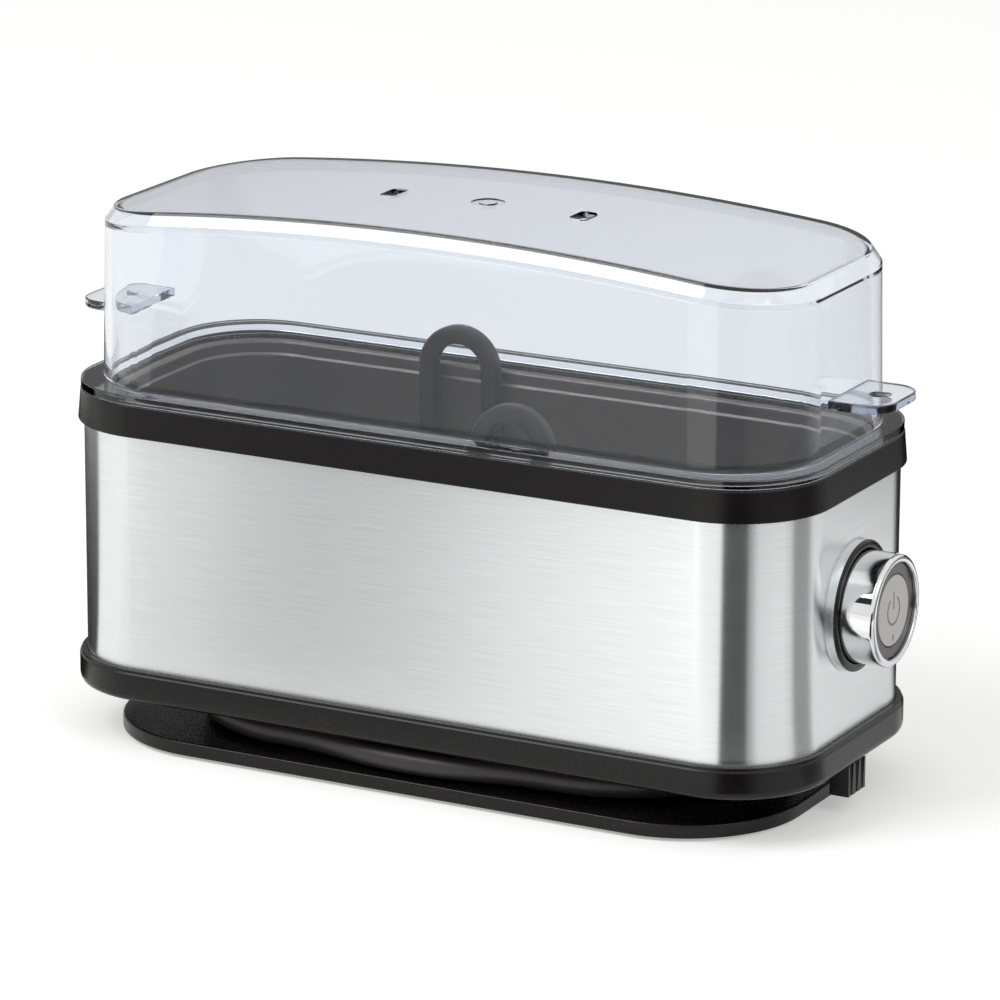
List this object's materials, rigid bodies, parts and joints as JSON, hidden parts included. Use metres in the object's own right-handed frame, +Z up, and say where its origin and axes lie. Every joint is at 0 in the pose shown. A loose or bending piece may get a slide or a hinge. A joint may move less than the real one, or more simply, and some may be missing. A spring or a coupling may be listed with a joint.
{
  "type": "egg cooker",
  "caption": "Electric egg cooker: clear lift-off lid over a lift-out rack and boiling pan, brushed steel case, push button on one end and cord store in the base.",
  "frame": {"origin": "on the table under the middle of the case", "axes": "+Z up, +X along the case towards the button, +Y towards the rear"},
  "size_m": [0.2287, 0.1275, 0.139],
  "materials": {
    "clear_lid": "clear moulded plastic, polished",
    "black_plastic": "satin black moulded plastic",
    "brushed_steel": "stainless steel, brushed lengthwise",
    "pan_coating": "anthracite non-stick coating on drawn aluminium",
    "rack_grey": "mid-grey moulded plastic",
    "chrome": "bright chrome plating",
    "smoked_ring": "smoked light guide",
    "face_grey": "light grey moulded plastic with a printed power sign",
    "rubber": "moulded rubber",
    "silicone": "translucent silicone",
    "aluminium": "plain aluminium",
    "element_steel": "heat-tinted steel sheath",
    "ceramic": "fired ceramic",
    "zinc_steel": "zinc-plated steel",
    "brass": "plain brass",
    "nickel": "nickel plating",
    "white_nylon": "white nylon",
    "board_green": "green circuit board",
    "lamp_clear": "clear tinted lamp",
    "spring_steel": "drawn spring wire",
    "cord_grey": "dark grey flexible cord sheath",
    "lead_brown": "brown lead insulation",
    "lead_blue": "blue lead insulation",
    "lead_white": "white heat-proof lead sleeve",
    "lead_earth": "green and yellow lead insulation"
  },
  "bodies": {
    "base": {"rubber_feet": "rubber", "foot_plate": "black_plastic", "base_tray": "black_plastic", "steel_shell": "brushed_steel", "top_collar": "black_plastic", "case_screws": "zinc_steel", "foot_screws": "zinc_steel", "boiling_pan": "pan_coating", "pan_gasket": "silicone", "heater_plate": "aluminium", "heating_element": "element_steel", "element_bushes": "ceramic", "element_pins": "zinc_steel", "thermostat_bracket": "zinc_steel", "bracket_screws": "zinc_steel", "thermostat": "aluminium", "thermal_fuse": "lead_white", "pan_studs": "zinc_steel", "stud_nuts": "zinc_steel", "button_bezel": "black_plastic", "switch_body": "black_plastic", "switch_bracket": "zinc_steel", "lamp_board": "board_green", "status_lamp": "lamp_clear", "terminal_block": "white_nylon", "cord_stop": "black_plastic", "cord_gland": "black_plastic", "cord_winding": "cord_grey", "cord_tail": "cord_grey", "inner_cord": "cord_grey", "live_lead": "lead_brown", "neutral_lead": "lead_blue", "switch_lead": "lead_brown", "heater_lead": "lead_white", "earth_lead": "lead_earth", "button_spring": "spring_steel", "mains_plug": "black_plastic", "plug_pins": "nickel", "earth_contacts": "brass"},
    "lid": {"lid": "clear_lid"},
    "rack": {"egg_rack": "rack_grey", "rack_loops": "rack_grey"},
    "button": {"button_cap": "chrome", "light_ring": "smoked_ring", "button_face": "face_grey", "button_stem": "white_nylon"}
  },
  "joints": [
    {"name": "lid_lift", "type": "slide", "parent": "base", "child": "lid", "axis": [0, 0, 1], "range_m": [0, 0.15]},
    {"name": "rack_lift", "type": "slide", "parent": "base", "child": "rack", "axis": [0, 0, 1], "range_m": [0, 0.034]},
    {"name": "button_press", "type": "slide", "parent": "base", "child": "button", "axis": [-1, 0, 0], "range_m": [0, 0.003], "stiffness_N_per_m": 400, "springref_m": -0.003, "deforming": ["button_spring"]}
  ]
}
